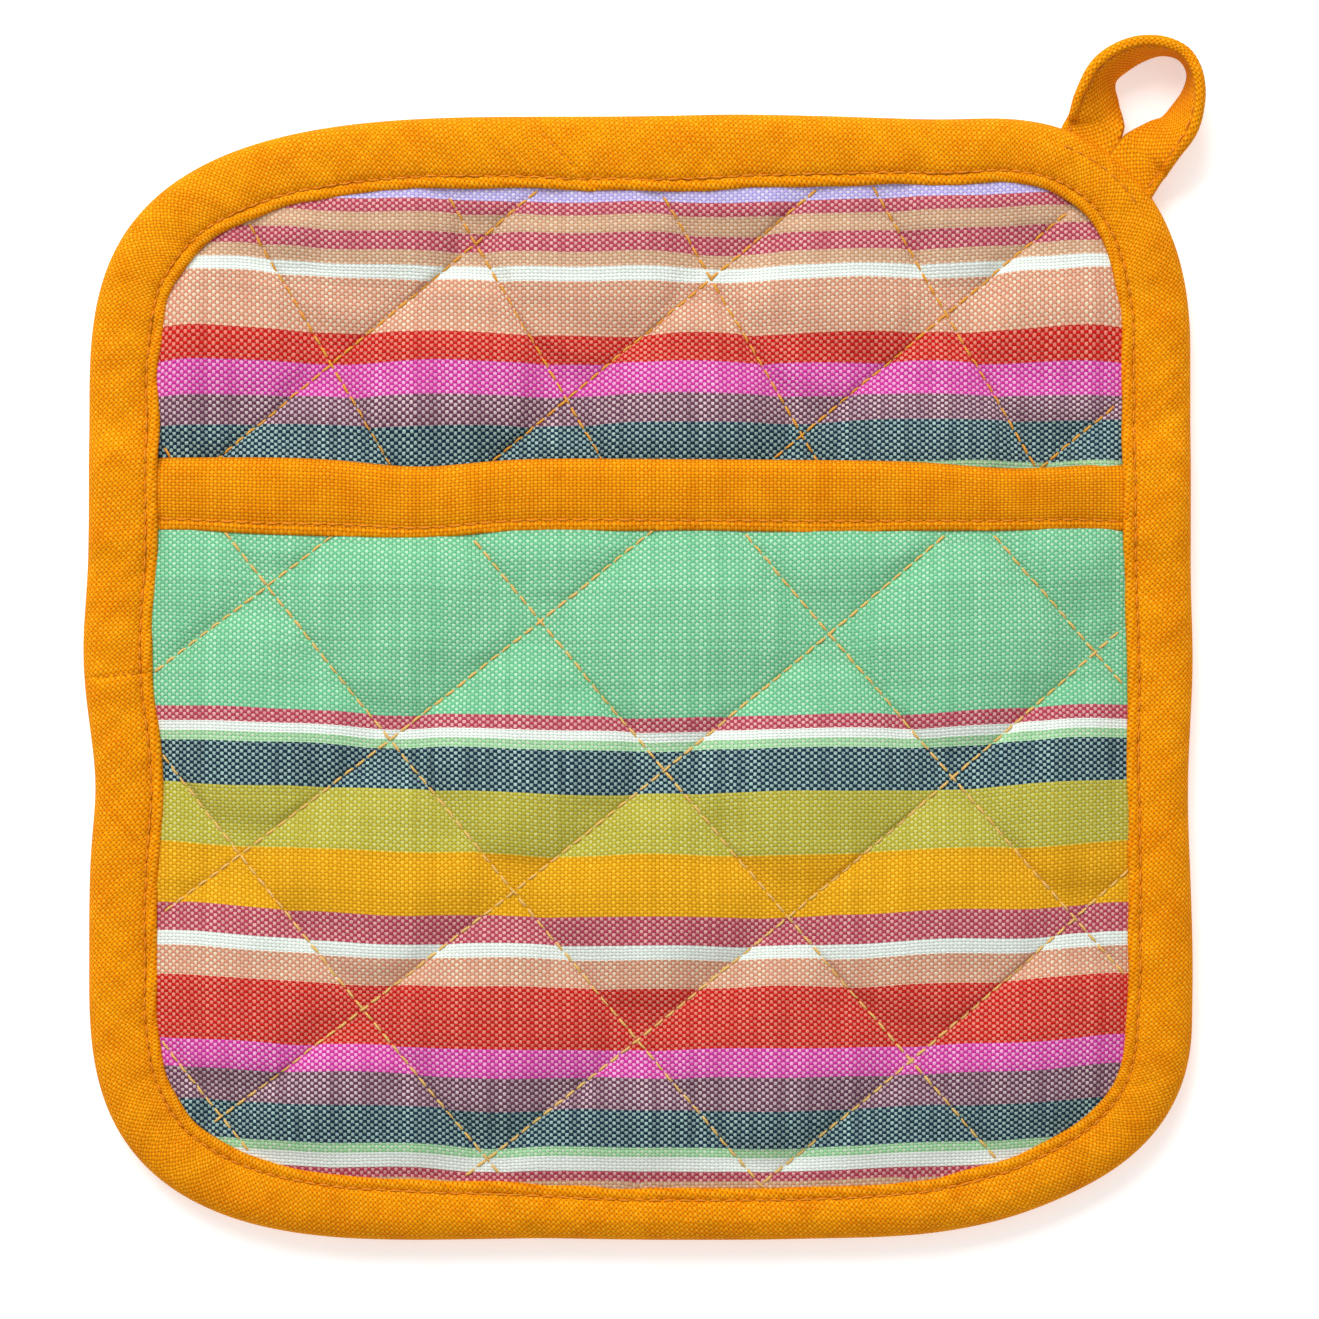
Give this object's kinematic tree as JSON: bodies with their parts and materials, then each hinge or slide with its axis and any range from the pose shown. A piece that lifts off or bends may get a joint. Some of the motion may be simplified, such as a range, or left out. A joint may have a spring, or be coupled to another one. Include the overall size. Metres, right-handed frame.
{
  "type": "oven mitt",
  "caption": "Square quilted oven mitt with striped cotton faces, a hand pocket, contrast bound edge and a corner hanging loop.",
  "frame": {"origin": "middle of the outline (hanging loop included), on the plane the mitt lies on", "axes": "+X to the right and +Y up the mitt towards the pocket's mouth and the loop, +Z out of the pocket face"},
  "size_m": [0.2125, 0.2286, 0.0193],
  "materials": {
    "striped_face": "matt plain-weave cotton with woven stripes",
    "striped_pocket": "matt plain-weave cotton with woven stripes",
    "striped_backing": "matt plain-weave cotton with woven stripes",
    "striped_lining": "matt plain-weave cotton with woven stripes",
    "wadding": "soft matt felted fibre",
    "orange_binding": "matt plain-weave cotton",
    "orange_tape": "matt folded cotton tape",
    "gold_thread": "spun polyester thread, slight sheen"
  },
  "bodies": {
    "pad": {"pad_backing_cloth": "striped_backing", "pad_wadding": "wadding", "pad_face_cloth": "striped_face", "pad_quilting_thread": "gold_thread", "edge_binding_long_strip": "orange_binding", "edge_binding_short_strip": "orange_binding", "edge_stitching_front": "gold_thread", "edge_stitching_back": "gold_thread", "pocket_seam_allowance": "striped_pocket", "loop_end_left": "orange_tape", "loop_end_right": "orange_tape"},
    "pocket": {"pocket_lining": "striped_lining", "pocket_wadding": "wadding", "pocket_face_cloth": "striped_pocket", "pocket_mouth_band": "orange_binding", "pocket_mouth_stitching": "gold_thread", "pocket_quilting_thread": "gold_thread"},
    "loop": {"hanging_loop": "orange_tape", "hanging_loop_stitching": "gold_thread"}
  },
  "joints": [
    {"name": "pocket_open", "type": "hinge", "parent": "pad", "child": "pocket", "pos_m": [-0.00175, -0.10185, 0.0105], "axis": [1, 0, 0], "range_deg": [0, 14]},
    {"name": "loop_swing", "type": "hinge", "parent": "pad", "child": "loop", "pos_m": [0.08762, 0.09084, 0.0043], "axis": [0.7923, -0.6101, 0], "range_deg": [-90, 90]}
  ]
}
